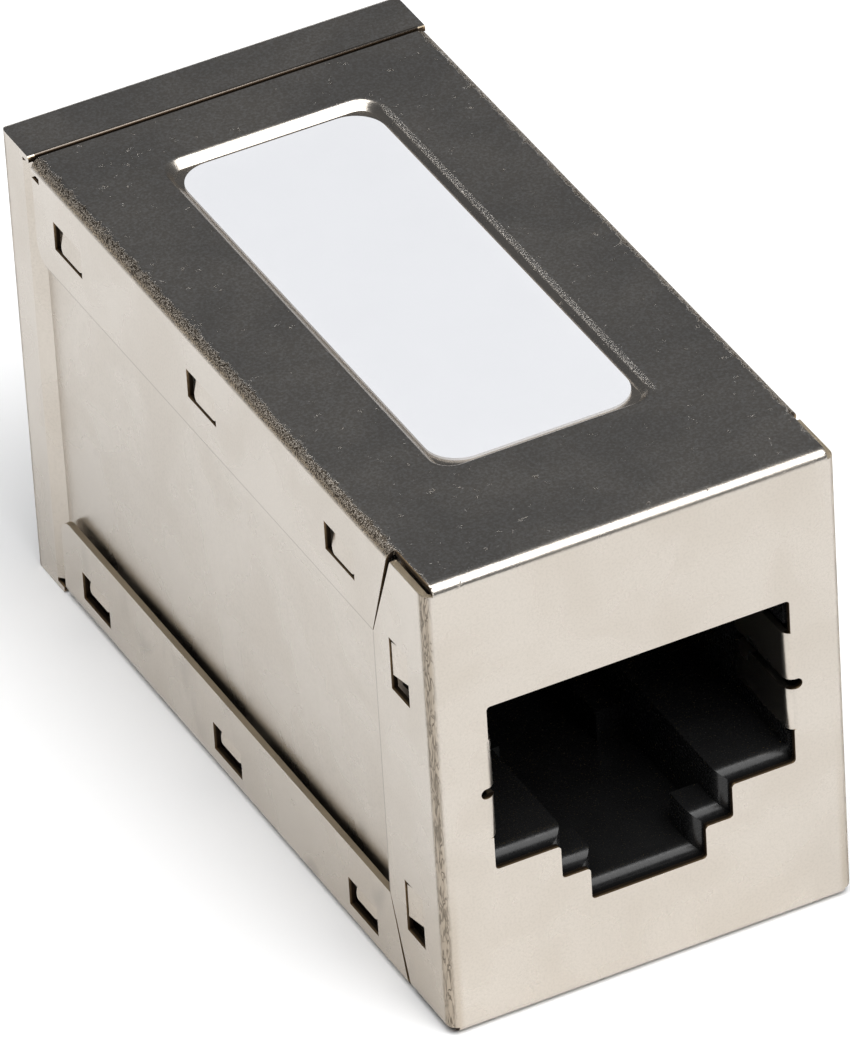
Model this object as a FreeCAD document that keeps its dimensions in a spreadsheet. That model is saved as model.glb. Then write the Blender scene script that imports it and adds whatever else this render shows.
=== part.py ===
# Shielded RJ45 inline coupler: two modular jacks back to back in a folded metal shield.
# Units are millimetres. +Z is up and carries the label, the front port faces -Y,
# and the origin is at the centre of the bottom face. Both ports take the plug latch-down.
import FreeCAD, Part
import math
import os
import re
import Sketcher

FRONT, REAR = -1, 1
CONTACTS = range(1, 9)

# Driving dimensions. Levels are heights above the bottom face, setbacks are distances
# behind the end face that a feature belongs to.
SIZES = {
    # folded shield
    "body_width": 16.0,
    "body_height": 19.3,
    "body_length": 33.1,
    "sheet_thickness": 0.24,
    "inner_bend_radius": 0.2,
    "seam_gap": 0.17,
    "shield_clearance": 0.18,
    "panel_edge_gap": 0.15,
    "rear_strip_depth": 2.42,
    "strip_edge_roll": 0.12,
    "rear_corner_radius": 0.5,
    "rear_bend_radius": 0.3,
    "joggle_length": 0.5,
    # side flanges of the front shield
    "top_flange_depth": 4.3,
    "bottom_flange_depth": 3.6,
    "front_flange_depth": 4.3,
    "top_seam_lean": 1.6,
    "bottom_seam_lean": 1.1,
    "slit_width": 0.1,
    "flange_corner_radius": 0.8,
    "bend_relief_length": 0.6,
    "bend_relief_drop": 0.5,
    "bend_relief_height": 0.25,
    # latch windows in the flanges, and the lanced tongues that spring into them
    "window_length": 2.2,
    "window_height": 1.2,
    "window_first_setback": 5.5,
    "window_last_margin": 1.59,
    "top_window_drop": 1.75,
    "bottom_window_level": 0.85,
    "front_window_width": 1.35,
    "front_window_height": 2.2,
    "front_window_setback": 1.7,
    "front_window_level": 2.8,
    "front_window_pitch": 10.5,
    "tongue_gap": 0.06,
    "tongue_rear_gap": 0.32,
    "tongue_root": 0.35,
    "tongue_inset": 0.06,
    "tongue_corner_radius": 0.3,
    "top_tongue_reach": 1.12,
    "bottom_tongue_reach": 0.65,
    "front_tongue_top_gap": 0.2,
    "front_tongue_bottom_gap": 0.6,
    # embossed bed of the label
    "bed_front_setback": 6.0,
    "bed_rear_setback": 5.28,
    "bed_side_margin": 3.71,
    "bed_depth": 0.3,
    "bed_slope": 0.3,
    "bed_corner_radius": 0.9,
    "bed_rim_radius": 0.25,
    "label_thickness": 0.1,
    "label_front_margin": 0.13,
    "label_rear_margin": 0.22,
    "label_side_margin": 0.04,
    "label_corner_radius": 1.3,
    # port opening in each end face
    "port_width": 11.84,
    "port_top": 13.6,
    "port_floor": 6.6,
    "port_step_width": 6.75,
    "port_step_floor": 5.2,
    "port_key_width": 4.55,
    "port_key_floor": 3.85,
    "port_corner_radius": 0.15,
    # grounding fingers folded in from the sides of the opening
    "finger_spacing": 11.4,
    "finger_bend_radius": 0.15,
    "finger_length": 3.8,
    "finger_bottom": 8.0,
    "finger_top": 12.15,
    "finger_slit": 0.43,
    "finger_slit_level": 9.95,
    # moulded jack housings
    "housing_gap": 0.15,
    "housing_depth": 13.4,
    "housing_clearance": 0.06,
    "housing_corner_radius": 0.6,
    "cavity_end_wall": 1.1,
    "cavity_side_lip": 0.07,
    "cavity_lip": 0.35,
    "lead_in": 0.55,
    "finger_pocket_gap": 0.25,
    "latch_shoulder": 1.6,
    "latch_pocket_length": 5.5,
    "groove_clearance": 0.08,
    "groove_headroom": 0.3,
    "groove_front_wall": 1.6,
    # spring contacts
    "contact_pitch": 1.02,
    "contact_width": 0.45,
    "contact_thickness": 0.3,
    "contact_low_row": 14.7,
    "contact_high_row": 16.0,
    "contact_spring_level": 13.7,
    "contact_bend_setback": 4.0,
    "contact_tip_setback": 9.6,
    "contact_tip_level": 11.4,
    "contact_tail_depth": 1.0,
    # circuit board and the inserts that press the contacts against it
    "board_thickness": 1.2,
    "board_side_gap": 0.2,
    "board_base_gap": 1.0,
    "board_hole_diameter": 0.75,
    "board_clearance": 0.05,
    "peg_diameter": 1.5,
    "peg_spread": 9.0,
    "peg_level": 4.0,
    "peg_depth": 0.5,
    "insert_side_wall": 1.2,
    "insert_floor": 1.0,
    "insert_roof": 0.5,
}

# Places that follow from the driving dimensions.
DERIVED = {
    "half_width": "body_width / 2",
    "half_length": "body_length / 2",
    "outer_bend_radius": "inner_bend_radius + sheet_thickness",
    "inside_half_width": "half_width - sheet_thickness",
    "plate_rear": "half_length - rear_strip_depth - seam_gap",
    "strip_front": "half_length - rear_strip_depth",
    "joggle_rear": "strip_front + joggle_length",
    "panel_face": "inside_half_width - shield_clearance",
    "panel_back": "panel_face - sheet_thickness",
    "panel_bottom": "sheet_thickness + panel_edge_gap",
    "panel_top": "body_height - sheet_thickness - panel_edge_gap",
    "flange_front": "front_flange_depth - half_length",
    "top_flange_edge": "body_height - top_flange_depth",
    "window_front": "window_first_setback - half_length",
    "window_rear": "plate_rear - window_last_margin - window_length",
    "window_pitch": "(window_rear - window_front) / 2",
    "top_window_level": "body_height - top_window_drop - window_height",
    "front_window_front": "front_window_setback - half_length",
    "tongue_shoulder": "inside_half_width - slit_width / 2",
    "tongue_face": "half_width - tongue_inset",
    "bed_front": "bed_front_setback - half_length",
    "bed_rear": "half_length - bed_rear_setback",
    "bed_half_width": "half_width - bed_side_margin",
    "bed_level": "body_height - bed_depth",
    "finger_face": "finger_spacing / 2",
    "finger_bend_centre": "finger_face + finger_bend_radius + sheet_thickness",
    "housing_half_width": "panel_back - housing_clearance",
    "housing_side_wall": "housing_half_width - port_width / 2 + cavity_side_lip",
    "mouth_corner_radius": "min(housing_corner_radius; housing_side_wall / 2)",
    "housing_bottom": "sheet_thickness + housing_clearance",
    "housing_top": "bed_level - sheet_thickness - housing_clearance",
    "housing_setback": "sheet_thickness + housing_gap",
    "housing_end": "housing_setback + housing_depth",
    "cavity_depth": "housing_depth - cavity_end_wall",
    "board_face": "board_thickness / 2",
    "insert_half_width": "3.5 * contact_pitch + contact_width / 2 + insert_side_wall",
    "insert_near": "board_face + board_clearance",
    "insert_far": "half_length - housing_end - board_clearance",
    "groove_width": "contact_width + 2 * groove_clearance",
    "groove_top": "contact_high_row + contact_thickness / 2 + groove_headroom",
}

doc = FreeCAD.newDocument("rj45_inline_coupler")
sheet = doc.addObject("Spreadsheet::Sheet", "Sizes")


def fill_sheet():
    """Write each size as a plain number, then each derived place as a formula."""
    formulas = {alias: "=" + text for alias, text in DERIVED.items()}
    rows = list(SIZES.items()) + list(formulas.items())
    for row, (alias, content) in enumerate(rows, 1):
        sheet.set(f"A{row}", alias)
        sheet.set(f"B{row}", str(content))
        sheet.setAlias(f"B{row}", alias)
    doc.recompute()


def cells(text):
    """Turn the sheet's words in an expression into references to its cells."""
    return re.sub(r"[a-z]\w*", lambda word: "Sizes." + word.group(0), text)


def value(text):
    """The number that an expression has now."""
    return float(sheet.evalExpression(cells(text)))


def new_body(name):
    body = doc.addObject("PartDesign::Body", name)
    body.Label = name
    return body


def new_sketch(body, name, plane, offset="0"):
    """A sketch on one of the body's origin planes, moved along that plane's normal."""
    sketch = body.newObject("Sketcher::SketchObject", f"{body.Name}_{name}_sketch")
    origin = [item for item in body.Origin.OriginFeatures if item.Role == plane + "_Plane"]
    sketch.AttachmentSupport = [(origin[0], "")]
    sketch.MapMode = "FlatFace"
    sketch.setExpression("AttachmentOffset.Base.z", cells(offset))
    return sketch


def tie(sketch, kind, where, text):
    """Add one dimension to a sketch and bind it to the sheet."""
    index = sketch.addConstraint(Sketcher.Constraint(kind, *where, value(text)))
    sketch.setExpression(f"Constraints[{index}]", cells(text))


def tie_point(sketch, edge, end, x, y):
    tie(sketch, "DistanceX", (edge, end), x)
    tie(sketch, "DistanceY", (edge, end), y)


def join(sketch, first, second):
    sketch.addConstraint(Sketcher.Constraint("Coincident", first, 2, second, 1))


def point(x, y):
    return FreeCAD.Vector(value(x), value(y), 0)


def polygon(sketch, corners):
    """A closed outline whose corners are pairs of expressions."""
    places = [point(x, y) for x, y in corners]
    edges = [sketch.addGeometry(Part.LineSegment(start, places[(i + 1) % len(places)]))
             for i, start in enumerate(places)]
    for i, edge in enumerate(edges):
        join(sketch, edge, edges[(i + 1) % len(edges)])
        tie_point(sketch, edge, 1, *corners[i])


def rectangle(sketch, left, bottom, right, top):
    polygon(sketch, [(left, bottom), (right, bottom), (right, top), (left, top)])


def mirrored(corners):
    """Complete a right-hand half outline with its mirror image across x = 0."""
    return corners + [(f"-({x})", y) for x, y in reversed(corners)]


def circle(sketch, x, y, radius):
    centre = point(x, y)
    ring = sketch.addGeometry(Part.Circle(centre, FreeCAD.Vector(0, 0, 1), value(radius)))
    tie_point(sketch, ring, 3, x, y)
    tie(sketch, "Radius", (ring,), radius)


def arc(sketch, x, y, radius, start, end):
    """An arc from one angle in degrees to another, with its radius tied."""
    ring = Part.Circle(point(x, y), FreeCAD.Vector(0, 0, 1), value(radius))
    edge = sketch.addGeometry(Part.ArcOfCircle(ring, math.radians(start), math.radians(end)))
    tie(sketch, "Radius", (edge,), radius)
    return edge


def centred_arc(sketch, x, y, radius, start, end):
    edge = arc(sketch, x, y, radius, start, end)
    tie_point(sketch, edge, 3, x, y)
    return edge


def line(sketch, start, end):
    return sketch.addGeometry(Part.LineSegment(point(*start), point(*end)))


def rounded_rectangle(sketch, left, bottom, right, top, radius):
    """A rectangle with four equal corner arcs, drawn anticlockwise."""
    low_x, high_x = f"{left} + {radius}", f"{right} - ({radius})"
    low_y, high_y = f"{bottom} + {radius}", f"{top} - ({radius})"
    corners = [(high_x, low_y, 270), (high_x, high_y, 0), (low_x, high_y, 90), (low_x, low_y, 180)]
    arcs = [centred_arc(sketch, x, y, radius, start, start + 90) for x, y, start in corners]
    ends = [((low_x, bottom), (high_x, bottom)), ((right, low_y), (right, high_y)),
            ((high_x, top), (low_x, top)), ((left, high_y), (left, low_y))]
    sides = [line(sketch, *pair) for pair in ends]
    for i, side in enumerate(sides):
        for first, second in ((side, arcs[i]), (arcs[i], sides[(i + 1) % 4])):
            sketch.addConstraint(Sketcher.Constraint("Tangent", first, 2, second, 1))


def pad(body, name, sketch, length, reverse=False):
    feature = body.newObject("PartDesign::Pad", f"{body.Name}_{name}")
    feature.Profile = sketch
    feature.setExpression("Length", cells(length))
    feature.Reversed = reverse
    return grown(body, feature)


def pocket(body, name, sketch, depth=None, reverse=False):
    """Cut a pocket to a depth, or right through on both sides when no depth is given."""
    feature = body.newObject("PartDesign::Pocket", f"{body.Name}_{name}")
    feature.Profile = sketch
    feature.Reversed = reverse
    if depth is None:
        feature.Type = "ThroughAll"
        feature.Midplane = True
    else:
        feature.setExpression("Length", cells(depth))
    return cut(body, feature)


def grown(body, feature):
    """Recompute after a feature that adds material, and see that it did."""
    return changed(body, feature, 1)


def cut(body, feature):
    """Recompute after a feature that removes material, and see that it did."""
    return changed(body, feature, -1)


def changed(body, feature, sign):
    before = feature.BaseFeature.Shape.Volume if feature.BaseFeature else 0.0
    doc.recompute()
    if feature.Shape.isNull() or sign * (feature.Shape.Volume - before) <= 0:
        raise RuntimeError(f"{feature.Name} left the volume as it was")
    body.Tip = feature
    return feature


def fillet(body, name, radius, picked):
    """Round the edges of the body's last shape whose middle passes the test."""
    base = body.Tip
    names = [f"Edge{i}" for i, edge in enumerate(base.Shape.Edges, 1) if picked(edge)]
    feature = body.newObject("PartDesign::Fillet", f"{body.Name}_{name}")
    feature.Base = (base, names)
    feature.setExpression("Radius", cells(radius))
    doc.recompute()
    body.Tip = feature
    return feature


def close(first, second):
    return abs(first - second) < 1e-4


def middle(edge):
    return edge.valueAt((edge.FirstParameter + edge.LastParameter) / 2)


def runs_across(edge):
    """A straight edge along X."""
    return close(edge.BoundBox.YLength, 0) and close(edge.BoundBox.ZLength, 0)


def on_level(edge, levels):
    return any(close(middle(edge).z, value(level)) for level in levels)


def at_depth(side, depth):
    """The Y place, as an expression, at a depth behind the front or rear end face."""
    return f"{side} * (half_length - ({depth}))"


def end_sketch(body, name, side, depth):
    """A sketch parallel to an end face. The XZ plane's normal is -Y."""
    return new_sketch(body, name, "XZ", f"{-side} * (half_length - ({depth}))")


def pocket_inward(body, name, sketch, side, depth):
    return pocket(body, name, sketch, depth, reverse=side == REAR)


def pad_inward(body, name, sketch, side, length):
    return pad(body, name, sketch, length, reverse=side == FRONT)


def port_outline():
    """The stepped opening for a plug, latch-down, with room for the folded fingers."""
    side = "port_width / 2"
    return mirrored([
        ("port_key_width / 2", "port_key_floor"), ("port_key_width / 2", "port_step_floor"),
        ("port_step_width / 2", "port_step_floor"), ("port_step_width / 2", "port_floor"),
        (side, "port_floor"), (side, "finger_bottom"),
        ("finger_bend_centre", "finger_bottom"), ("finger_bend_centre", "finger_top"),
        (side, "finger_top"), (side, "port_top")])


def finger_profile(sketch, side, hand):
    """Plan view of one finger: a quarter bend off the end face, then a straight leaf."""
    def along(depth):
        return at_depth(side, depth)

    def across(place):
        return f"{hand} * ({place})"

    outer, inner = "finger_bend_radius + sheet_thickness", "finger_bend_radius"
    centre = (across("finger_bend_centre"), along(outer))
    tip = "finger_length"
    back = "finger_face + sheet_thickness"
    corners = [(across("finger_face"), along(outer)), (across("finger_face"), along(tip)),
               (across(back), along(tip)), (across(back), along(outer))]
    leaf = [line(sketch, corners[i], corners[i + 1]) for i in range(3)]
    root = line(sketch, (centre[0], along("sheet_thickness")), (centre[0], along("0")))
    towards_face = 90 if side == REAR else 270
    towards_port = 180 if hand > 0 else 0
    start, end = sorted((towards_face, towards_port))
    if (start, end) == (0, 270):
        start, end = 270, 360
    bends = [arc(sketch, *centre, radius, start, end) for radius in (outer, inner)]
    face_end = 1 if end % 360 == towards_port else 2
    port_end = 3 - face_end
    links = [(leaf[0], 2, leaf[1], 1), (leaf[1], 2, leaf[2], 1),
             (leaf[0], 1, bends[0], port_end), (leaf[2], 2, bends[1], port_end),
             (root, 2, bends[0], face_end), (root, 1, bends[1], face_end)]
    for link in links:
        sketch.addConstraint(Sketcher.Constraint("Coincident", *link))
    for edge, corner in zip(leaf, corners):
        tie_point(sketch, edge, 1, *corner)
    tie_point(sketch, leaf[2], 2, *corners[3])
    tie_point(sketch, root, 1, centre[0], along("sheet_thickness"))
    tie_point(sketch, root, 2, centre[0], along("0"))


def cut_port(body, side):
    """Open an end face for the plug and fold the four grounding fingers inward."""
    opening = end_sketch(body, "port", side, "0")
    polygon(opening, port_outline())
    pocket_inward(body, "port", opening, side, "sheet_thickness")
    face = value(at_depth(side, "sheet_thickness / 2"))
    fillet(body, "port_corners", "port_corner_radius", lambda edge: is_port_corner(edge, face))
    half_slit = "finger_slit / 2"
    leaves = {"low": ("finger_bottom", f"finger_slit_level - {half_slit} - finger_bottom"),
              "high": (f"finger_slit_level + {half_slit}",
                       f"finger_top - finger_slit_level - {half_slit}")}
    for name, (level, height) in leaves.items():
        plan = new_sketch(body, name + "_fingers", "XY", level)
        for hand in (-1, 1):
            finger_profile(plan, side, hand)
        pad(body, name + "_fingers", plan, height)
    slits = end_sketch(body, "slit_ends", side, "0")
    for hand in (-1, 1):
        circle(slits, f"{hand} * finger_bend_centre", "finger_slit_level", half_slit)
    pocket_inward(body, "slit_ends", slits, side, "sheet_thickness")


def is_port_corner(edge, face):
    """Corners of the opening in an end face, apart from those beside the fingers."""
    through = close(edge.BoundBox.XLength, 0) and close(edge.BoundBox.ZLength, 0)
    in_port = abs(middle(edge).x) < value("finger_bend_centre") and close(middle(edge).y, face)
    return through and in_port and on_level(
        edge, ("port_key_floor", "port_step_floor", "port_floor", "port_top"))


def window_rows():
    """Front edge and level of every latch window in the top and bottom flanges."""
    fronts = ["window_front", "window_front + window_pitch", "window_rear"]
    return [(front, level) for level in ("top_window_level", "bottom_window_level")
            for front in fronts]


def front_window_levels():
    return ["front_window_level", "front_window_level + front_window_pitch"]


def draw_windows(sketch):
    """The same openings pass through the flanges and the panels behind them."""
    for front, level in window_rows():
        rectangle(sketch, front, level, f"{front} + window_length", f"{level} + window_height")
    for level in front_window_levels():
        rectangle(sketch, "front_window_front", level,
                  "front_window_front + front_window_width", f"{level} + front_window_height")


def build_front_shield():
    """One folded sheet: top, front and bottom plates with flanges down both sides."""
    body = new_body("front_shield")
    plan = new_sketch(body, "plates", "XY")
    rectangle(plan, "-half_width", "-half_length", "half_width", "plate_rear")
    pad(body, "plates", plan, "body_height")

    front, rear = value("-half_length"), value("plate_rear")
    fillet(body, "bends", "outer_bend_radius", lambda edge: is_bend(edge, front, rear))

    inside = end_sketch(body, "inside", FRONT, "sheet_thickness")
    rounded_rectangle(inside, "-inside_half_width", "sheet_thickness", "inside_half_width",
                      "body_height - sheet_thickness", "inner_bend_radius")
    pocket(body, "inside", inside, "body_length")

    sides = new_sketch(body, "side_openings", "YZ")
    rectangle(sides, "flange_front", "bottom_flange_depth", "half_length", "top_flange_edge")
    pocket(body, "side_openings", sides)
    fillet(body, "flange_corners", "flange_corner_radius", is_flange_corner)

    for name, place, reverse in (("left", "-half_width", True), ("right", "half_width", False)):
        slits = new_sketch(body, name + "_slits", "YZ", place)
        draw_fold_slits(slits)
        pocket(body, name + "_slits", slits, "sheet_thickness + slit_width", reverse)
    windows = new_sketch(body, "windows", "YZ")
    draw_windows(windows)
    pocket(body, "windows", windows)
    emboss_label_bed(body)
    cut_port(body, FRONT)
    return body


def is_bend(edge, front, rear):
    """Edges of the plain block that become folds: all but those of the rear face."""
    place = middle(edge)
    upright = close(edge.BoundBox.YLength, 0)
    return (upright and close(place.y, front)) or (not upright and place.y < rear)


def is_flange_corner(edge):
    return (runs_across(edge) and close(middle(edge).y, value("plate_rear"))
            and on_level(edge, ("bottom_flange_depth", "top_flange_edge")))


def draw_fold_slits(sketch):
    """Cuts that part the front flange from its neighbours, and the slits that end the folds."""
    front = "-half_length - slit_width"
    top_end, bottom_end = "flange_front - top_seam_lean", "flange_front - bottom_seam_lean"
    top_cut, bottom_cut = "body_height - sheet_thickness - slit_width", "sheet_thickness + slit_width"
    polygon(sketch, [("flange_front", "top_flange_edge"),
                     ("flange_front", "top_flange_edge - slit_width"),
                     (f"{top_end} - slit_width", top_cut), (front, top_cut),
                     (front, "body_height + slit_width"), (top_end, "body_height + slit_width")])
    polygon(sketch, [("flange_front", "bottom_flange_depth"), (bottom_end, "-slit_width"),
                     (front, "-slit_width"), (front, bottom_cut),
                     (f"{bottom_end} - slit_width", bottom_cut),
                     ("flange_front", "bottom_flange_depth + slit_width")])
    relief_top = "body_height - bend_relief_drop"
    rectangle(sketch, "plate_rear - bend_relief_length", f"{relief_top} - bend_relief_height",
              "half_length", relief_top)


def draw_bed(sketch, inset):
    rounded_rectangle(sketch, f"-(bed_half_width - ({inset}))", f"bed_front + {inset}",
                      f"bed_half_width - ({inset})", f"bed_rear - ({inset})",
                      f"(bed_corner_radius - ({inset}))")


def emboss_label_bed(body):
    """Press the bed for the label down out of the top plate, with sloping sides."""
    under = new_sketch(body, "bed_under", "XY", "body_height - sheet_thickness")
    draw_bed(under, "0")
    pad(body, "bed_under", under, "bed_depth", reverse=True)
    rim = new_sketch(body, "bed_rim", "XY", "body_height")
    draw_bed(rim, "0")
    floor = new_sketch(body, "bed_floor", "XY", "bed_level")
    draw_bed(floor, "bed_slope")
    bed = body.newObject("PartDesign::SubtractiveLoft", "front_shield_bed")
    bed.Profile = rim
    bed.Sections = [floor]
    bed.Ruled = True
    cut(body, bed)
    fillet(body, "bed_rim", "bed_rim_radius", is_bed_rim)


def is_bed_rim(edge):
    place = middle(edge)
    inside = abs(place.x) < value("bed_half_width") + value("slit_width")
    along = value("bed_front - slit_width") < place.y < value("bed_rear + slit_width")
    return close(edge.BoundBox.ZLength, 0) and close(place.z, value("body_height")) and inside and along


def bend_cutter(sketch, level, towards):
    """The sliver between a square rear edge and its round fold."""
    radius = "rear_bend_radius"
    centre = ("half_length - rear_bend_radius", f"{level} - {towards} * {radius}")
    start = 0 if towards > 0 else 270
    bend = arc(sketch, *centre, radius, start, start + 90)
    rim = line(sketch, (centre[0], level), ("half_length", level))
    back = line(sketch, ("half_length", level), ("half_length", centre[1]))
    join(sketch, rim, back)
    tie_point(sketch, rim, 1, centre[0], level)
    tie_point(sketch, rim, 2, "half_length", level)
    tie_point(sketch, back, 2, "half_length", centre[1])
    rim_end = 2 if towards > 0 else 1
    sketch.addConstraint(Sketcher.Constraint("Coincident", bend, rim_end, rim, 1))
    sketch.addConstraint(Sketcher.Constraint("Coincident", bend, 3 - rim_end, back, 2))


def round_backed_plan(sketch, half_width, front, rear, radius):
    """A rectangle in plan whose two rear corners are rounded."""
    left, right = f"-({half_width})", half_width
    low_x, high_x = f"{radius} - ({half_width})", f"{half_width} - ({radius})"
    side_end = f"{rear} - ({radius})"
    corners = [centred_arc(sketch, high_x, side_end, radius, 0, 90),
               centred_arc(sketch, low_x, side_end, radius, 90, 180)]
    near = line(sketch, (left, front), (right, front))
    right_side = line(sketch, (right, front), (right, side_end))
    back = line(sketch, (high_x, rear), (low_x, rear))
    left_side = line(sketch, (left, side_end), (left, front))
    ring = [near, right_side, corners[0], back, corners[1], left_side]
    for i, edge in enumerate(ring):
        following = ring[(i + 1) % len(ring)]
        kind = "Coincident" if near in (edge, following) else "Tangent"
        sketch.addConstraint(Sketcher.Constraint(kind, edge, 2, following, 1))
    tie_point(sketch, near, 1, left, front)
    tie_point(sketch, near, 2, right, front)


def joggled_panel(sketch, hand):
    """Plan view of a side panel: flush behind the flanges, then stepped in under them."""
    front = "sheet_thickness + shield_clearance - half_length"
    rear = "joggle_rear + sheet_thickness"
    outline = [("half_width", rear), ("half_width", "joggle_rear"), ("panel_face", "strip_front"),
               ("panel_face", front), ("panel_back", front),
               ("panel_back", "strip_front + slit_width"),
               ("inside_half_width", "joggle_rear + slit_width"), ("inside_half_width", rear)]
    polygon(sketch, [(f"{hand} * {x}", y) for x, y in outline])


def is_strip_edge(edge):
    return (runs_across(edge) and close(middle(edge).y, value("strip_front"))
            and on_level(edge, ("0", "body_height")))


def build_rear_shield():
    """One folded sheet: rear face, end strips, and side panels that step in under the flanges."""
    body = new_body("rear_shield")
    end = new_sketch(body, "end", "XY")
    round_backed_plan(end, "half_width", "strip_front", "half_length", "rear_corner_radius")
    pad(body, "end", end, "body_height")
    folds = new_sketch(body, "folds", "YZ")
    bend_cutter(folds, "body_height", 1)
    bend_cutter(folds, "0", -1)
    pocket(body, "folds", folds)
    fillet(body, "strip_edges", "strip_edge_roll", is_strip_edge)
    inside = new_sketch(body, "inside", "XY", "sheet_thickness")
    round_backed_plan(inside, "inside_half_width", "-half_length",
                      "half_length - sheet_thickness", "rear_corner_radius - sheet_thickness")
    pocket(body, "inside", inside, "body_height - 2 * sheet_thickness", reverse=True)

    wall_end = new_sketch(body, "wall_end", "YZ")
    rectangle(wall_end, "-half_length", "sheet_thickness", "joggle_rear",
              "body_height - sheet_thickness")
    pocket(body, "wall_end", wall_end)
    panels = new_sketch(body, "panels", "XY", "panel_bottom")
    for hand in (-1, 1):
        joggled_panel(panels, hand)
    pad(body, "panels", panels, "panel_top - panel_bottom")
    lances = new_sketch(body, "lances", "YZ")
    for front, level in window_rows():
        rectangle(lances, front, level, f"{front} + window_length",
                  f"{level} + window_height + tongue_root")
    for level in front_window_levels():
        rectangle(lances, "front_window_front - tongue_root", level,
                  "front_window_front + front_window_width", f"{level} + front_window_height")
    pocket(body, "lances", lances)
    add_side_tongues(body)
    add_front_tongues(body)
    cut_port(body, REAR)
    return body


def tongue_outline(root, mouth, tip):
    """Bent section of a tongue: out from the panel behind the flange, then into the window."""
    back = "sheet_thickness"
    return [("panel_back", root), ("panel_face", root), ("tongue_shoulder", mouth),
            ("tongue_face", tip), (f"tongue_face - {back}", tip),
            (f"tongue_shoulder - {back}", mouth)]


def add_side_tongues(body):
    """Tongues hang from the panel above each window in the top and bottom flanges."""
    reaches = {"top_window_level": "top_tongue_reach", "bottom_window_level": "bottom_tongue_reach"}
    for i, (front, level) in enumerate(window_rows(), 1):
        section = new_sketch(body, f"tongues_{i}", "XZ", f"-({front} + tongue_gap)")
        top = f"{level} + window_height"
        for hand in (-1, 1):
            outline = tongue_outline(f"{top} + tongue_root", top, f"{top} - {reaches[level]}")
            polygon(section, [(f"{hand} * ({x})", z) for x, z in outline])
        pad(body, f"tongues_{i}", section, "window_length - tongue_gap - tongue_rear_gap",
            reverse=True)
    tips = [f"{level} + window_height - {reach}" for level, reach in reaches.items()]
    fillet(body, "tongue_corners", "tongue_corner_radius",
           lambda edge: is_tongue_corner(edge, tips))


def is_tongue_corner(edge, tips):
    outside = abs(middle(edge).x) > value("panel_back")
    return runs_across(edge) and outside and on_level(edge, tips)


def add_front_tongues(body):
    """Tongues in the two front windows on each side are hinged ahead of their front edge."""
    mouth = "front_window_front"
    tip = "front_window_front + front_window_width - tongue_gap"
    for i, level in enumerate(front_window_levels(), 1):
        plan = new_sketch(body, f"front_tongues_{i}", "XY", f"{level} + front_tongue_bottom_gap")
        for hand in (-1, 1):
            outline = tongue_outline(f"{mouth} - tongue_root", mouth, tip)
            polygon(plan, [(f"{hand} * ({x})", y) for x, y in outline])
        pad(body, f"front_tongues_{i}", plan,
            "front_window_height - front_tongue_top_gap - front_tongue_bottom_gap")


def build_label():
    """A plain sticker lying on the floor of the embossed bed."""
    body = new_body("label")
    outline = new_sketch(body, "outline", "XY", "bed_level")
    half = "(bed_half_width - bed_slope - label_side_margin)"
    rounded_rectangle(outline, f"-{half}", "bed_front + bed_slope + label_front_margin", half,
                      "bed_rear - bed_slope - label_rear_margin", "label_corner_radius")
    pad(body, "sheet", outline, "label_thickness")
    return body


def cavity_outline():
    """The plug's cavity, a lip smaller than the opening in the shield."""
    lip = "cavity_lip"
    side = "port_width / 2 - cavity_side_lip"
    step, key = f"port_step_width / 2 - {lip}", f"port_key_width / 2 - {lip}"
    return mirrored([(key, f"port_key_floor + {lip}"), (key, f"port_step_floor + {lip}"),
                     (step, f"port_step_floor + {lip}"), (step, f"port_floor + {lip}"),
                     (side, f"port_floor + {lip}"), (side, "port_top")])


def contact_place(number):
    """Distance of a contact from the middle plane, counted from the -X side."""
    return f"{number - 4.5} * contact_pitch"


def contact_row(number, side):
    """Tails alternate between two rows, the other way round at the other end."""
    low = (number % 2 == 1) == (side == FRONT)
    return "contact_low_row" if low else "contact_high_row"


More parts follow.
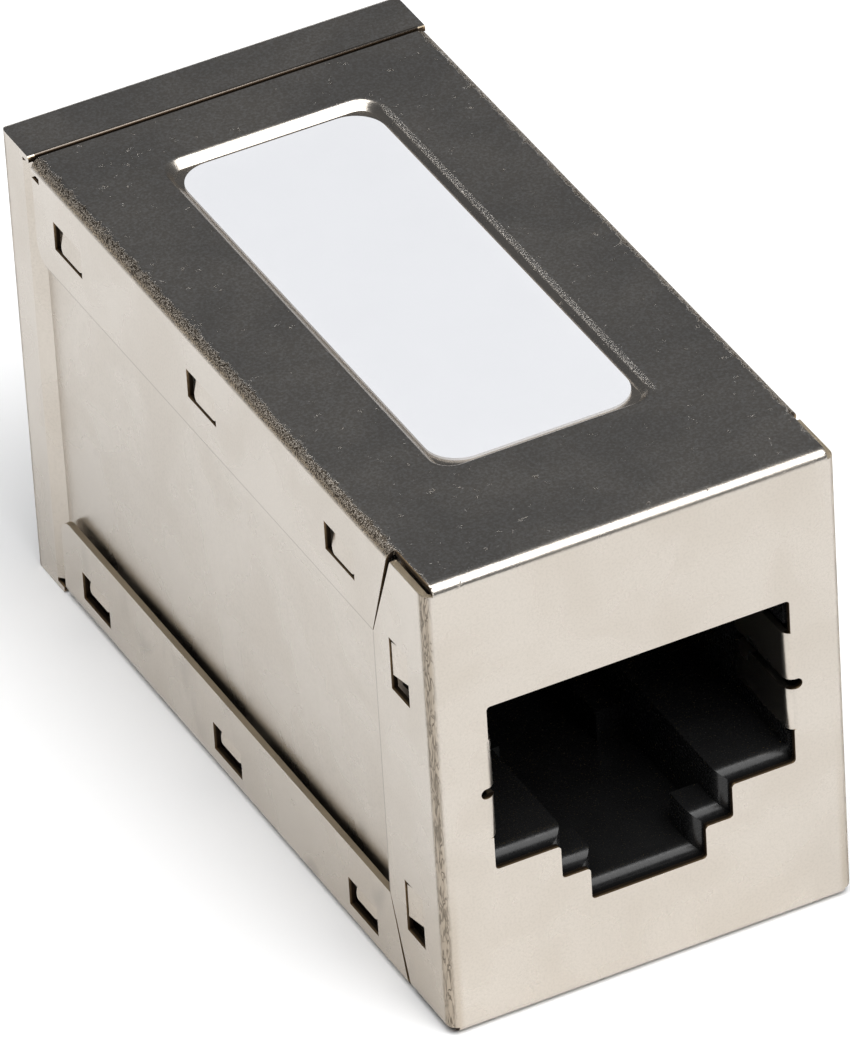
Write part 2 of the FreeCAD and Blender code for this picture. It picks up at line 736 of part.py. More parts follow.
def build_housing(name, side):
    """A moulded jack: stepped cavity, latch shoulders, contact grooves and two pegs."""
    body = new_body(name)
    block = end_sketch(body, "block", side, "housing_setback")
    rectangle(block, "-housing_half_width", "housing_bottom", "housing_half_width", "housing_top")
    pad_inward(body, "block", block, side, "housing_depth")
    mouth, half = value(at_depth(side, "housing_setback")), value("housing_half_width")
    fillet(body, "corners", "mouth_corner_radius",
           lambda edge: is_upright_at(edge, mouth, half))

    cavity = end_sketch(body, "cavity", side, "housing_setback")
    polygon(cavity, cavity_outline())
    pocket_inward(body, "cavity", cavity, side, "cavity_depth")
    levels = (value("port_key_floor"), value("finger_bottom"))
    fillet(body, "lead_in", "lead_in", lambda edge: is_mouth_edge(edge, mouth, levels))

    latch = end_sketch(body, "latch_pocket", side, "housing_setback + latch_shoulder")
    step = "(port_step_width / 2 - cavity_lip)"
    rectangle(latch, f"-{step}", "port_key_floor + cavity_lip", step,
              "port_floor + cavity_lip")
    pocket_inward(body, "latch_pocket", latch, side, "latch_pocket_length")

    fingers = end_sketch(body, "finger_pockets", side, "housing_setback")
    reach = "finger_face + sheet_thickness + finger_pocket_gap"
    rectangle(fingers, f"-({reach})", "finger_bottom - finger_pocket_gap", reach,
              "finger_top + finger_pocket_gap")
    pocket_inward(body, "finger_pockets", fingers, side,
                  "finger_length + finger_pocket_gap - housing_setback")

    grooves = end_sketch(body, "grooves", side, "housing_setback + groove_front_wall")
    for number in CONTACTS:
        place = contact_place(number)
        rectangle(grooves, f"{place} - groove_width / 2", "port_top - cavity_lip",
                  f"{place} + groove_width / 2", "groove_top")
    pocket_inward(body, "grooves", grooves, side, "housing_depth")

    pegs = end_sketch(body, "pegs", side, "housing_end")
    for hand in (-1, 1):
        circle(pegs, f"{hand} * peg_spread / 2", "peg_level", "peg_diameter / 2")
    pad_inward(body, "pegs", pegs, side, "half_length - housing_end - board_face + peg_depth")
    return body


def is_upright_at(edge, y, x):
    place = middle(edge)
    upright = close(edge.BoundBox.XLength, 0) and close(edge.BoundBox.YLength, 0)
    return upright and close(place.y, y) and close(abs(place.x), x)


def is_mouth_edge(edge, mouth, levels):
    """Edges of the stepped floor at the cavity's mouth."""
    place = middle(edge)
    in_mouth = close(edge.BoundBox.YLength, 0) and close(place.y, mouth)
    inside = abs(place.x) < value("port_width / 2")
    return in_mouth and inside and levels[0] < place.z < levels[1]


def build_insert(name, side):
    """The block that holds eight contact tails in two rows against the board."""
    body = new_body(name)
    near = new_sketch(body, "block", "XZ", f"{-side} * insert_near")
    floor = "contact_low_row - insert_floor"
    rectangle(near, "-insert_half_width", floor, "insert_half_width",
              "contact_high_row + insert_roof")
    depth = "insert_far - insert_near"
    pad(body, "block", near, depth, reverse=side == REAR)
    channels = new_sketch(body, "channels", "XZ", f"{-side} * insert_near")
    for number in CONTACTS:
        place, row = contact_place(number), contact_row(number, side)
        half = "contact_width / 2 + board_clearance"
        rise = "contact_thickness / 2 + board_clearance"
        rectangle(channels, f"{place} - ({half})", f"{row} - ({rise})",
                  f"{place} + {half}", f"{row} + {rise}")
    pocket(body, "channels", channels, depth, reverse=side == FRONT)
    return body


def build_board():
    """An upright circuit board between the two inserts, drilled for tails and pegs."""
    body = new_body("circuit_board")
    face = new_sketch(body, "outline", "XZ", "board_face")
    half = "(housing_half_width - board_side_gap)"
    rectangle(face, f"-{half}", "housing_bottom + board_base_gap", half,
              "housing_top - board_side_gap")
    pad(body, "plate", face, "board_thickness", reverse=True)
    holes = new_sketch(body, "holes", "XZ")
    for number in CONTACTS:
        for side in (FRONT, REAR):
            circle(holes, contact_place(number), contact_row(number, side),
                   "board_hole_diameter / 2")
    for hand in (-1, 1):
        circle(holes, f"{hand} * peg_spread / 2", "peg_level",
               "peg_diameter / 2 + board_clearance")
    pocket(body, "holes", holes)
    return body


def draw_spring(sketch, side, row):
    """Centre line of a contact: tail, half turn near the mouth, spring leaf to the tip."""
    radius = f"({row} - contact_spring_level) / 2"
    bend_y, bend_z = at_depth(side, "contact_bend_setback"), f"{row} - {radius}"
    tip = (at_depth(side, "contact_tip_setback"), "contact_tip_level")
    tail = (f"{side} * (board_face - contact_tail_depth)", row)
    centre, end = point(bend_y, bend_z), point(*tip)
    reach = end - centre
    turn = math.acos(value(radius) / reach.Length)
    heading = math.atan2(reach.y, reach.x) + side * turn
    top = math.pi / 2
    if side == FRONT:
        start, stop = top, heading % (2 * math.pi)
    else:
        start, stop = heading % (2 * math.pi) - 2 * math.pi, top
    ring = Part.Circle(centre, FreeCAD.Vector(0, 0, 1), value(radius))
    run = line(sketch, tail, (bend_y, row))
    bend = sketch.addGeometry(Part.ArcOfCircle(ring, start, stop))
    touch = centre + FreeCAD.Vector(math.cos(heading), math.sin(heading), 0) * value(radius)
    leaf = sketch.addGeometry(Part.LineSegment(touch, end))
    top_end = 1 if side == FRONT else 2
    sketch.addConstraint(Sketcher.Constraint("Tangent", run, 2, bend, top_end))
    sketch.addConstraint(Sketcher.Constraint("Tangent", bend, 3 - top_end, leaf, 1))
    sketch.addConstraint(Sketcher.Constraint("Horizontal", run))
    tie_point(sketch, run, 1, *tail)
    tie_point(sketch, leaf, 2, *tip)
    tie(sketch, "DistanceX", (bend, 3), bend_y)
    tie(sketch, "Radius", (bend,), radius)


def build_contact(name, number, side):
    """A gold-plated spring contact of rectangular section, swept along its centre line."""
    body = new_body(name)
    row, place = contact_row(number, side), contact_place(number)
    spring = new_sketch(body, "spring", "YZ", place)
    draw_spring(spring, side, row)
    section = new_sketch(body, "section", "XZ", f"{-side} * (board_face - contact_tail_depth)")
    rectangle(section, f"{place} - contact_width / 2", f"{row} - contact_thickness / 2",
              f"{place} + contact_width / 2", f"{row} + contact_thickness / 2")
    doc.recompute()
    wire = body.newObject("PartDesign::AdditivePipe", f"{name}_wire")
    wire.Profile = section
    wire.Spine = (spring, ["Edge1", "Edge2", "Edge3"])
    grown(body, wire)
    return body


def build_all():
    bodies = [build_front_shield(), build_rear_shield(), build_label(), build_board()]
    for end, side in (("front", FRONT), ("rear", REAR)):
        bodies.append(build_housing(f"{end}_jack_housing", side))
        bodies.append(build_insert(f"{end}_contact_insert", side))
        for number in CONTACTS:
            bodies.append(build_contact(f"contact_{end}_{number}", number, side))
    return bodies


def check(bodies):
    """Stop if anything failed to build or a sub-part has no valid single solid."""
    failed = [item.Name for item in doc.Objects if {"Invalid", "Error"} & set(item.State)]
    if failed:
        raise RuntimeError("failed objects: " + ", ".join(failed))
    for body in bodies:
        shape = body.Shape
        if shape.isNull() or not shape.isValid() or len(shape.Solids) != 1:
            raise RuntimeError(f"{body.Label} is not one valid solid")


def export(bodies):
    os.makedirs("parts", exist_ok=True)
    for body in bodies:
        body.Shape.exportStep(f"parts/{body.Label}.step")
        print(f"{body.Label}: {body.Shape.Volume:.2f} mm3")


fill_sheet()
parts = build_all()
doc.recompute()
check(parts)
export(parts)
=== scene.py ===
"""Looks of a shielded RJ45 inline coupler: satin nickel sheet, a bare paper label, black jacks.

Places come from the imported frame. Named lengths are in millimetres unless a note says metres,
and MM turns them into metres. The front is -Y and up is +Z.
"""

import math

import bpy
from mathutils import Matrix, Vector


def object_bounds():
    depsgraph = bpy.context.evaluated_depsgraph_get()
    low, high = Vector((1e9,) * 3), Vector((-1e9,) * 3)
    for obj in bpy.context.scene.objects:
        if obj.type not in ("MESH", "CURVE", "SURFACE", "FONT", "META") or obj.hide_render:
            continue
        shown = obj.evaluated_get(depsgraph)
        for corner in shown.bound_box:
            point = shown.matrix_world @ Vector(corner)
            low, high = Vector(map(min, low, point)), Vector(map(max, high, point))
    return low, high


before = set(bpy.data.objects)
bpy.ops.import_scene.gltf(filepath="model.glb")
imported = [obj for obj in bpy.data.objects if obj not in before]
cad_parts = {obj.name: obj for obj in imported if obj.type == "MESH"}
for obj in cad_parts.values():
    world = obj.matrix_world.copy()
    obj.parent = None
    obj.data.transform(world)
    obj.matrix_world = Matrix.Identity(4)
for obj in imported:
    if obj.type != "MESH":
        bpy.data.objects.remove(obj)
CAD_LOW, CAD_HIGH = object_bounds()
MM = 0.001

# Camera, in degrees and millimetres: it looks down on the front, the top and the left side.
AZIMUTH, ELEVATION, ROLL = -25.33, 35.95, -3.64
DISTANCE, LENS = 452.4, 437.8
AIM = (0.0, -1.55, 8.0)
AIM_RIGHT, AIM_UP = -0.72, 1.48
CLIP_NEAR, CLIP_FAR = 0.01, 10.0

# Studio: the floor's half width in metres, its gap under the part, and linear colours.
FLOOR_REACH, FLOOR_GAP = 3.0, 0.02
FLOOR_COLOUR, FLOOR_ROUGHNESS = (0.92, 0.92, 0.92), 0.9
SURROUND = (0.101, 0.105, 0.112)

# Shields: how deep a cut edge lies below an outer face, how far off counts as on the face,
# how far the folds reach, and where the two shields and their flanges end.
EDGE_ZONE = 0.28
SKIN = 0.015
FOLD_TOP, FOLD_SIDE, FOLD_END = 0.42, 0.55, 0.6
PLATE_REAR = 13.96
STRIP_FRONT, STRIP_ROLL = 14.13, 0.13
FRONT_FLANGE_REAR, FRONT_FLANGE_TOP = -12.25, 18.6
TOP_FLANGE_LOW, LOW_FLANGE_TOP = 15.0, 3.6
BED_RIM, BED_RIM_ENDS = (4.27, 4.41), (-9.95, 10.17)

# Easing of the shields' edges: its width, the weld before it, and the angle in degrees above
# which an edge is eased.
EASED_EDGE, WELD_REACH, SHARP_EDGE = 0.03, 0.001, 32.0

# Marks on the plating, in millimetres: heights at which the painted low shade and the dark
# blotches are full and gone, widths of the painted shade lines at the seams, depths over which
# painted shade darkens a cut edge, and depths over which the painted shade on the rolled lip
# deepens.
LOW_SHADE_FULL, LOW_SHADE_GONE = 1.0, 9.0
BLOTCH_FULL, BLOTCH_GONE = 3.0, 6.0
LEVEL_SEAM_SHADE, UPRIGHT_SEAM_SHADE = 0.05, 0.06
EDGE_SHADE_STARTS, EDGE_SHADE_FULL = 0.04, 0.13
LIP_LIT, LIP_SHADED = 0.01, 0.03
LIT_RIM_REACH = 0.1

# Shares of a mark's colour where the mark is full, and of the painted low shade left at the
# rear.
GRAIN_SHARE, DUST_SHARE, LOW_SHADE_SHARE, LOW_SHADE_REAR = 0.22, 0.7, 0.3, 0.35
BLOTCH_SHARE, SEAM_SHADE_SHARE = 0.3, 0.45
RIM_SHARE, CRACK_SHARE, STREAK_SHARE = 0.6, 0.9, 0.85

# Parts of a unit normal: under the first a face stands square, over the second it faces up.
SQUARE, UPWARD = 0.3, 0.6

# The range that a noise mostly fills, and the roughness that worn plating adds.
SPREAD = (0.3, 0.7)
WORN_ROUGHNESS = 0.2

# Plating colours, linear.
NICKEL, NICKEL_SHADED = (0.555, 0.51, 0.455), (0.525, 0.478, 0.42)
GRAIN = (0.36, 0.33, 0.29)
DUST = (0.8, 0.775, 0.74)
# Painted shade: the warm darkening low on the sides, standing in for the shaded floor they
# mirror.
LOW_SHADE = (0.27, 0.19, 0.1)
# Faint dark blotches low on the sides.
BLOTCH = (0.2, 0.18, 0.16)
# Painted shade: thin dark lines where the side panels pass under the flanges.
SEAM_SHADE = (0.12, 0.1, 0.08)
RIM_LIGHT, RIM_DARK = (0.95, 0.91, 0.86), (0.36, 0.33, 0.3)
FLAKE_HIGH, FLAKE_LOW, CRACK = (0.46, 0.41, 0.35), (0.34, 0.25, 0.14), (0.06, 0.04, 0.022)
STREAK_LIGHT, STREAK_DARK = (0.38, 0.32, 0.25), (0.12, 0.095, 0.065)
# Cut edges: bare brown burrs, and the painted shade that darkens them deep down (the third
# colour).
BURR_LIGHT, BURR_DARK, BURR_SHADE = (0.42, 0.3, 0.17), (0.24, 0.165, 0.095), (0.06, 0.042, 0.028)
# Painted highlight on cut edges that face up.
BURR_LIT = (0.6, 0.5, 0.36)
# Painted shade on the rear strip's rolled lip in the gap: dim at the lip, near black deeper
# down.
ROLL_LIP, ROLL_SHADE = (0.2, 0.175, 0.15), (0.02, 0.013, 0.008)

# Colours of the other materials, linear.
PAPER, PAPER_SHADED = (0.6, 0.606, 0.625), (0.58, 0.586, 0.605)
LAMINATE, LAMINATE_LIGHT = (0.01, 0.09, 0.03), (0.02, 0.15, 0.05)
GOLD, GOLD_DRAWN = (1.0, 0.74, 0.34), (0.86, 0.58, 0.22)


def direction(azimuth, elevation):
    """Unit vector from the object towards a place at this azimuth and elevation."""
    a, e = math.radians(azimuth), math.radians(elevation)
    return Vector((math.sin(a) * math.cos(e), -math.cos(a) * math.cos(e), math.sin(e)))


def link(item):
    """Put an item into the scene and give it back."""
    bpy.context.scene.collection.objects.link(item)
    return item


def make_camera():
    """Camera on the line to AIM, turned about that line by ROLL and shifted beside AIM."""
    towards = direction(AZIMUTH, ELEVATION)
    right = (-towards).cross(Vector((0, 0, 1))).normalized()
    up = right.cross(-towards)
    roll = math.radians(ROLL)
    right, up = (right * math.cos(roll) + up * math.sin(roll),
                 up * math.cos(roll) - right * math.sin(roll))
    target = (Vector(AIM) + right * AIM_RIGHT + up * AIM_UP) * MM
    camera = link(bpy.data.objects.new("camera", bpy.data.cameras.new("camera")))
    matrix = camera.matrix_world.copy()
    for column, axis in enumerate((right, up, towards)):
        for row in range(3):
            matrix[row][column] = axis[row]
    matrix.translation = target + towards * DISTANCE * MM
    camera.matrix_world = matrix
    camera.data.lens = LENS
    camera.data.clip_start, camera.data.clip_end = CLIP_NEAR, CLIP_FAR
    bpy.context.scene.camera = camera


def make_floor():
    """Plain pale floor just under the part."""
    reach = FLOOR_REACH
    mesh = bpy.data.meshes.new("floor")
    mesh.from_pydata([(-reach, -reach, 0), (reach, -reach, 0), (reach, reach, 0),
                      (-reach, reach, 0)], [], [(0, 1, 2, 3)])
    floor = link(bpy.data.objects.new("floor", mesh))
    floor.location.z = CAD_LOW.z - FLOOR_GAP * MM
    material = bpy.data.materials.new("floor")
    material.use_nodes = True
    shader = material.node_tree.nodes["Principled BSDF"]
    shader.inputs["Base Color"].default_value = (*FLOOR_COLOUR, 1)
    shader.inputs["Roughness"].default_value = FLOOR_ROUGHNESS
    mesh.materials.append(material)


def make_world():
    """Dim even surroundings, which the top face mirrors."""
    world = bpy.data.worlds.new("studio")
    bpy.context.scene.world = world
    world.use_nodes = True
    world.node_tree.nodes["Background"].inputs["Color"].default_value = (*SURROUND, 1)


def area_light(name, azimuth, elevation, distance, size, power):
    """A square light that faces the origin, with its distance and size in metres."""
    light = bpy.data.lights.new(name, "AREA")
    light.shape = "SQUARE"
    light.size = size
    light.energy = power
    item = link(bpy.data.objects.new(name, light))
    towards = direction(azimuth, elevation)
    item.location = towards * distance
    item.rotation_mode = "QUATERNION"
    item.rotation_quaternion = towards.to_track_quat("Z", "Y")


class Graph:
    """A material's node tree, with short calls that return output sockets."""

    def __init__(self, name):
        self.material = bpy.data.materials.new(name)
        self.material.use_nodes = True
        self.tree = self.material.node_tree
        self.shader = self.tree.nodes["Principled BSDF"]
        metres = self.node("ShaderNodeTexCoord").outputs["Object"]
        self.place = self.scaled(metres, (1 / MM,) * 3)

    def node(self, kind, **settings):
        made = self.tree.nodes.new(kind)
        for key, value in settings.items():
            setattr(made, key, value)
        return made

    def feed(self, socket, value):
        if isinstance(value, bpy.types.NodeSocket):
            self.tree.links.new(value, socket)
        else:
            socket.default_value = value

    def set(self, **values):
        """Give the shader its inputs, as sockets or as constants."""
        for key, value in values.items():
            self.feed(self.shader.inputs[key.replace("_", " ")], value)

    def math(self, operation, *values):
        made = self.node("ShaderNodeMath", operation=operation)
        for socket, value in zip(made.inputs, values):
            self.feed(socket, value)
        return made.outputs[0]

    def times(self, value, *others):
        """The product of all the values."""
        for other in others:
            value = self.math("MULTIPLY", value, other)
        return value

    def most(self, value, *others):
        """The largest of the values."""
        for other in others:
            value = self.math("MAXIMUM", value, other)
        return value

    def below(self, value, limit):
        """1 where the value is under the limit, and 0 elsewhere."""
        return self.math("LESS_THAN", value, limit)

    def above(self, value, limit):
        """1 where the value is over the limit, and 0 elsewhere."""
        return self.math("GREATER_THAN", value, limit)

    def scaled(self, vector, scale):
        made = self.node("ShaderNodeMapping")
        self.feed(made.inputs["Vector"], vector)
        made.inputs["Scale"].default_value = scale
        return made.outputs[0]

    def parts(self, vector):
        made = self.node("ShaderNodeSeparateXYZ")
        self.feed(made.inputs[0], vector)
        return made.outputs

    def noise(self, scale, detail, stretch=(1, 1, 1), distortion=0.0, rough=0.5):
        """Noise between 0 and 1, with scale in cycles a millimetre."""
        made = self.node("ShaderNodeTexNoise")
        self.feed(made.inputs["Vector"], self.scaled(self.place, stretch))
        made.inputs["Scale"].default_value = scale
        made.inputs["Detail"].default_value = detail
        made.inputs["Roughness"].default_value = rough
        made.inputs["Distortion"].default_value = distortion
        return made.outputs["Fac"]

    def veins(self, scale, width, stretch, distortion):
        """1 on thin wandering lines, where a noise passes its middle, and 0 off them."""
        middle = self.math("SUBTRACT", self.noise(scale, 2, stretch, distortion), 0.5)
        return self.fade(self.math("ABSOLUTE", middle), 0, width)

    def ramp(self, value, low, high, start=0.0, end=1.0):
        """Smooth step from start at low to end at high."""
        made = self.node("ShaderNodeMapRange", interpolation_type="SMOOTHSTEP")
        for socket, given in zip(made.inputs, (value, low, high, start, end)):
            self.feed(socket, given)
        return made.outputs[0]

    def fade(self, value, low, high):
        """Smooth step from 1 at low to 0 at high."""
        return self.ramp(value, low, high, 1, 0)

    def band(self, value, low, high, blur=0.01):
        """1 where the value lies between low and high, and 0 elsewhere."""
        return self.times(self.ramp(value, low - blur, low + blur),
                          self.fade(value, high - blur, high + blur))

    def mix(self, share, first, second):
        made = self.node("ShaderNodeMix", data_type="RGBA")
        self.feed(made.inputs[0], share)
        for socket, colour in zip(made.inputs[6:8], (first, second)):
            self.feed(socket, (*colour, 1) if isinstance(colour, tuple) else colour)
        return made.outputs[2]

    def bump(self, height, strength, distance, under=None):
        made = self.node("ShaderNodeBump")
        made.inputs["Strength"].default_value = strength
        made.inputs["Distance"].default_value = distance * MM
        self.feed(made.inputs["Height"], height)
        if under is not None:
            self.feed(made.inputs["Normal"], under)
        return made.outputs[0]


class Sheet(Graph):
    """The shields' node tree, which knows how deep a point lies below their outer faces."""

    def __init__(self, name):
        super().__init__(name)
        self.x, self.y, self.height = self.parts(self.place)
        self.side = self.math("SUBTRACT", CAD_HIGH.x / MM, self.math("ABSOLUTE", self.x))
        self.end = self.math("SUBTRACT", CAD_HIGH.y / MM, self.math("ABSOLUTE", self.y))
        self.top = self.math("SUBTRACT", CAD_HIGH.z / MM, self.height)
        self.normal = self.parts(self.node("ShaderNodeNewGeometry").outputs["True Normal"])


def plated(sheet, cloud, grain):
    """The bare plating, with wide clouds and a fine grain."""
    colour = sheet.mix(sheet.ramp(cloud, *SPREAD), NICKEL, NICKEL_SHADED)
    return sheet.mix(sheet.ramp(grain, 0.4, 0.72, end=GRAIN_SHARE), colour, GRAIN)


def dusty(sheet, colour):
    """Dust on the top face."""
    dust = sheet.ramp(sheet.noise(scale=9, detail=4, rough=0.75), 0.4, 0.68, end=DUST_SHARE)
    return sheet.mix(sheet.times(dust, sheet.below(sheet.top, SKIN)), colour, DUST)


def low_shaded(sheet, colour):
    """Painted shade: a warm darkening low on the sides, most of all towards the front."""
    low = sheet.fade(sheet.height, LOW_SHADE_FULL, LOW_SHADE_GONE)
    ahead = sheet.ramp(sheet.y, CAD_LOW.y / MM, 0, 1, LOW_SHADE_REAR)
    beside = sheet.fade(sheet.side, 0.3, 0.6)
    return sheet.mix(sheet.times(low, ahead, beside, LOW_SHADE_SHARE), colour, LOW_SHADE)


def blotched(sheet, colour):
    """Faint dark blotches near the bottom of the sides."""
    cloud = sheet.noise(scale=0.45, detail=2, stretch=(1, 1, 0.5), distortion=0.6)
    low = sheet.ramp(sheet.height, BLOTCH_FULL, BLOTCH_GONE, BLOTCH_SHARE, 0)
    blotch = sheet.times(sheet.ramp(cloud, 0.56, 0.72), low, sheet.above(sheet.end, FOLD_END))
    return sheet.mix(blotch, colour, BLOTCH)


def seam_shaded(sheet, colour):
    """Painted shade: dark lines on the side panels, under the top flange and behind the front
    flange.
    """
    under = sheet.times(sheet.band(sheet.height, TOP_FLANGE_LOW, TOP_FLANGE_LOW + LEVEL_SEAM_SHADE),
                        sheet.band(sheet.y, FRONT_FLANGE_REAR, PLATE_REAR))
    start = FRONT_FLANGE_REAR - UPRIGHT_SEAM_SHADE
    behind = sheet.times(sheet.band(sheet.y, start, FRONT_FLANGE_REAR),
                         sheet.band(sheet.height, LOW_FLANGE_TOP, TOP_FLANGE_LOW))
    seam_shade = sheet.times(sheet.most(under, behind), sheet.below(sheet.side, SKIN), SEAM_SHADE_SHARE)
    return sheet.mix(seam_shade, colour, SEAM_SHADE)


def long_folds(sheet, pits):
    """Where the top's folds have cracked the plating, ragged towards the top."""
    patches = sheet.times(sheet.noise(scale=2.5, detail=2), 1.5)
    near = sheet.fade(sheet.side, FOLD_SIDE * 0.2, FOLD_SIDE)
    ragged = sheet.math("ADD", near, sheet.math("ADD", pits, patches))
    return sheet.times(sheet.ramp(ragged, 1.6, 1.85),
                       sheet.fade(sheet.top, FOLD_TOP * 0.4, FOLD_TOP),
                       sheet.below(sheet.y, PLATE_REAR))


def upright_folds(sheet):
    """Where the folds up the corners have cracked the plating."""
    return sheet.times(sheet.fade(sheet.side, 0.1, 0.3),
                       sheet.fade(sheet.end, FOLD_END * 0.6, FOLD_END),
                       sheet.above(sheet.top, 0.1))


def bed_rim(sheet):
    """The rubbed rim along the right side of the label's bed."""
    return sheet.times(sheet.band(sheet.x, *BED_RIM, blur=0.08),
                       sheet.band(sheet.y, *BED_RIM_ENDS, blur=0.5))


def cracked(sheet, colour, rim, along, upright, specks, streaks):
    """Bright and dark specks on the rim and the long folds, and streaks up the corners."""
    rubbed = sheet.mix(specks, RIM_LIGHT, RIM_DARK)
    colour = sheet.mix(sheet.times(rim, RIM_SHARE), colour, rubbed)
    flakes = sheet.mix(sheet.ramp(sheet.top, 0.05, 0.3), FLAKE_HIGH, FLAKE_LOW)
    speckled = sheet.mix(specks, flakes, CRACK)
    colour = sheet.mix(sheet.times(along, CRACK_SHARE), colour, speckled)
    streaked = sheet.mix(streaks, STREAK_LIGHT, STREAK_DARK)
    return sheet.mix(sheet.times(upright, STREAK_SHARE), colour, streaked)


def cut_edges(sheet):
    """1 on the sheared edges of the sheet, square to an outer face, and a mask for painted
    shade, 1 deep down on them.
    """
    level = sheet.math("MINIMUM", sheet.top, sheet.height)
    edge = deep = 0.0
    for depth, lean, others in ((sheet.side, sheet.normal[0], (sheet.end, level)),
                                (sheet.end, sheet.normal[1], (sheet.side, level)),
                                (level, sheet.normal[2], (sheet.side, sheet.end))):
        mask = sheet.times(sheet.below(depth, EDGE_ZONE),
                           sheet.below(sheet.math("ABSOLUTE", lean), SQUARE),
                           *(sheet.above(other, SKIN) for other in others))
        edge = sheet.most(edge, mask)
        # Painted shade, darker the deeper the edge lies below the outer face.
        dark = sheet.ramp(depth, EDGE_SHADE_STARTS, EDGE_SHADE_FULL)
        deep = sheet.most(deep, sheet.times(mask, dark))
    return edge, deep


def sheared(sheet, colour, edge, deep):
    """Brown burrs on the cut edges, with painted shade deep down and a painted highlight on
    edges that face up.
    """
    burr = sheet.mix(sheet.noise(scale=6, detail=3), BURR_LIGHT, BURR_DARK)
    burr = sheet.mix(deep, burr, BURR_SHADE)
    # Painted highlight on upward cut edges at the tops of the low and front flanges.
    low_rim = sheet.band(sheet.height, LOW_FLANGE_TOP - LIT_RIM_REACH,
                         LOW_FLANGE_TOP + LIT_RIM_REACH)
    rims = sheet.most(low_rim, sheet.above(sheet.height, FRONT_FLANGE_TOP))
    lit = sheet.times(sheet.above(sheet.normal[2], UPWARD), rims)
    burr = sheet.mix(lit, burr, BURR_LIT)
    return sheet.mix(edge, colour, burr)


def rolled(sheet, colour):
    """Painted shade on the rolled edge of the rear strip, in the gap behind the top plate."""
    roll = sheet.times(sheet.band(sheet.y, STRIP_FRONT, STRIP_FRONT + STRIP_ROLL),
                       sheet.below(sheet.top, EDGE_ZONE), sheet.above(sheet.side, EDGE_ZONE))
    # The painted shade deepens from the lip's top down into the gap.
    shade = sheet.mix(sheet.ramp(sheet.top, LIP_LIT, LIP_SHADED), ROLL_LIP, ROLL_SHADE)
    return sheet.mix(roll, colour, shade)


def nickel():
    """Satin nickel plating, cracked on the folds, brown on cut edges, with painted shade and
    highlights.
    """
    sheet = Sheet("nickel_plate")
    cloud = sheet.noise(scale=0.3, detail=3, distortion=0.4)
    grain = sheet.noise(scale=11, detail=2)
    pits = sheet.noise(scale=17, detail=3, stretch=(1, 0.8, 1), rough=0.7)
    specks = sheet.ramp(pits, 0.44, 0.54)
    streaks = sheet.veins(scale=8, width=0.08, stretch=(1, 1, 0.15), distortion=0.8)
    rim, along, upright = bed_rim(sheet), long_folds(sheet, pits), upright_folds(sheet)
    edge, deep = cut_edges(sheet)

    colour = plated(sheet, cloud, grain)
    # Dust, the dark blotches, and painted shade low on the sides and along the seams.
    for soil_and_shade in (dusty, low_shaded, blotched, seam_shaded):
        colour = soil_and_shade(sheet, colour)
    colour = cracked(sheet, colour, rim, along, upright, specks, streaks)
    colour = rolled(sheet, sheared(sheet, colour, edge, deep))

    worn = sheet.times(sheet.most(along, upright, edge), WORN_ROUGHNESS)
    roughness = sheet.math("ADD", sheet.ramp(cloud, *SPREAD, 0.25, 0.31), worn)
    pitted = sheet.math("ADD", sheet.times(sheet.most(along, rim), specks),
                        sheet.times(upright, streaks))
    relief = sheet.bump(sheet.times(pitted, -1.0), strength=0.8, distance=0.03,
                        under=sheet.bump(grain, strength=0.35, distance=0.012))
    sheet.set(Base_Color=colour, Metallic=1.0, Roughness=roughness, Normal=relief)
    return sheet.material


def paper():
    """Matt white paper with a faint fibre."""
    graph = Graph("white_label")
    fibre = graph.noise(scale=5, detail=4)
    cloud = graph.noise(scale=0.4, detail=2)
    graph.set(Base_Color=graph.mix(cloud, PAPER, PAPER_SHADED),
              Roughness=graph.ramp(fibre, *SPREAD, 0.42, 0.55),
              Normal=graph.bump(fibre, strength=0.1, distance=0.02), Specular_IOR_Level=0.4)
    return graph.material


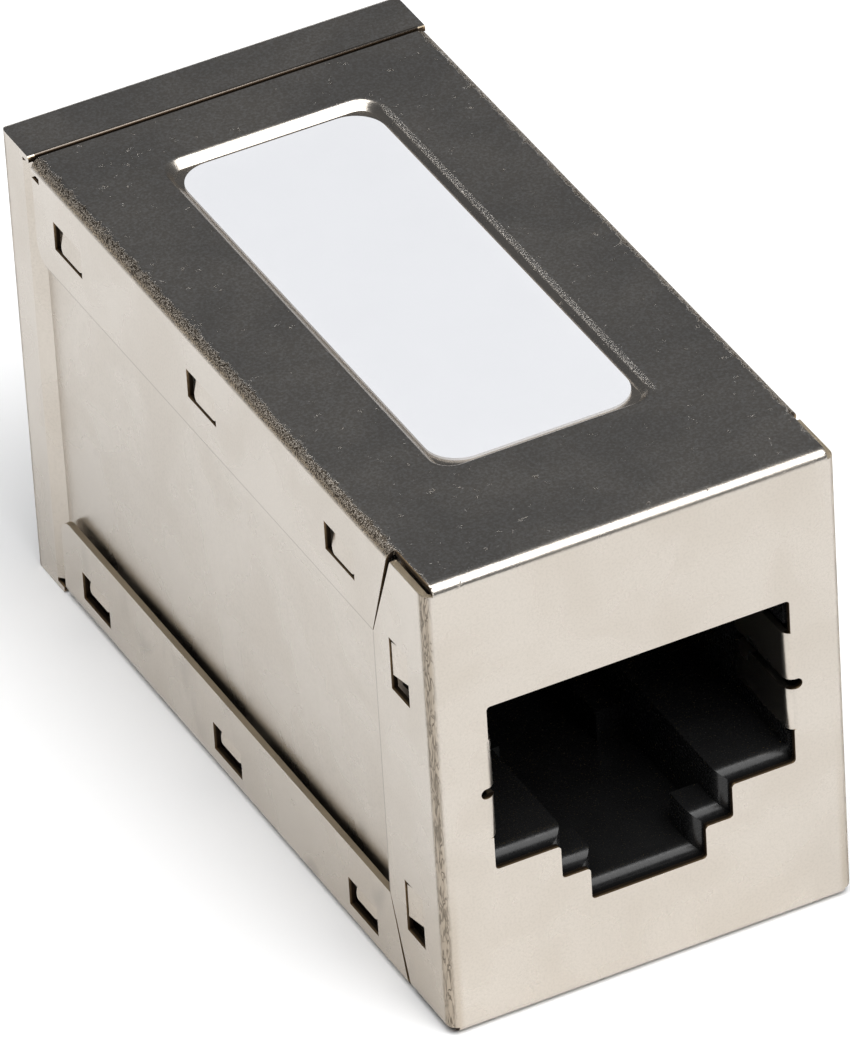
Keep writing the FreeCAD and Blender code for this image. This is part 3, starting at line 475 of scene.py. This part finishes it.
def plastic(name, tone, rough):
    """Dark moulded plastic, whose roughness starts at a given value."""
    graph = Graph(name)
    pits = graph.noise(scale=7, detail=3)
    cloud = graph.noise(scale=0.8, detail=3)
    colour = graph.mix(cloud, (tone, tone, tone * 1.05), (tone * 1.8,) * 3)
    graph.set(Base_Color=colour, Roughness=graph.ramp(pits, *SPREAD, rough, rough + 0.1),
              Normal=graph.bump(pits, strength=0.12, distance=0.01), Specular_IOR_Level=0.35)
    return graph.material


def board():
    """Green solder mask over woven laminate."""
    graph = Graph("board_laminate")
    weave = graph.noise(scale=3, detail=2, stretch=(1, 1, 4))
    graph.set(Base_Color=graph.mix(weave, LAMINATE, LAMINATE_LIGHT),
              Roughness=graph.ramp(weave, *SPREAD, 0.3, 0.42))
    return graph.material


def gold():
    """Gold flash on drawn contact wire."""
    graph = Graph("gold_plate")
    drawn = graph.noise(scale=14, detail=2, stretch=(1, 0.1, 1))
    graph.set(Base_Color=graph.mix(drawn, GOLD, GOLD_DRAWN), Metallic=1.0,
              Roughness=graph.ramp(drawn, *SPREAD, 0.18, 0.3))
    return graph.material


def dress(names, material):
    """Give CAD nodes a material."""
    for name in names:
        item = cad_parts[name]
        item.data.materials.clear()
        item.data.materials.append(material)


def soften(name):
    """Ease the sharp edges of a CAD node with a weld and a small bevel."""
    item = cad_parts[name]
    weld = item.modifiers.new("weld", "WELD")
    weld.merge_threshold = WELD_REACH * MM
    bevel = item.modifiers.new("bevel", "BEVEL")
    bevel.width = EASED_EDGE * MM
    bevel.segments = 2
    bevel.limit_method = "ANGLE"
    bevel.angle_limit = math.radians(SHARP_EDGE)
    bevel.harden_normals = False


nodes = list(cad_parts)
shields = [n for n in nodes if n.endswith("shield")]
dress(shields, nickel())
dress(["label"], paper())
dress([n for n in nodes if n.endswith("housing")],
      plastic("black_plastic", tone=0.006, rough=0.22))
dress([n for n in nodes if n.endswith("insert")],
      plastic("insert_plastic", tone=0.012, rough=0.4))
dress(["circuit_board"], board())
dress([n for n in nodes if n.startswith("contact_")], gold())
for shield in shields:
    soften(shield)

make_camera()
make_floor()
make_world()
area_light("overhead", azimuth=-30, elevation=75, distance=0.9, size=0.9, power=9.7)
area_light("key", azimuth=30, elevation=50, distance=0.9, size=0.7, power=5.4)
bpy.context.scene.view_settings.view_transform = "Standard"
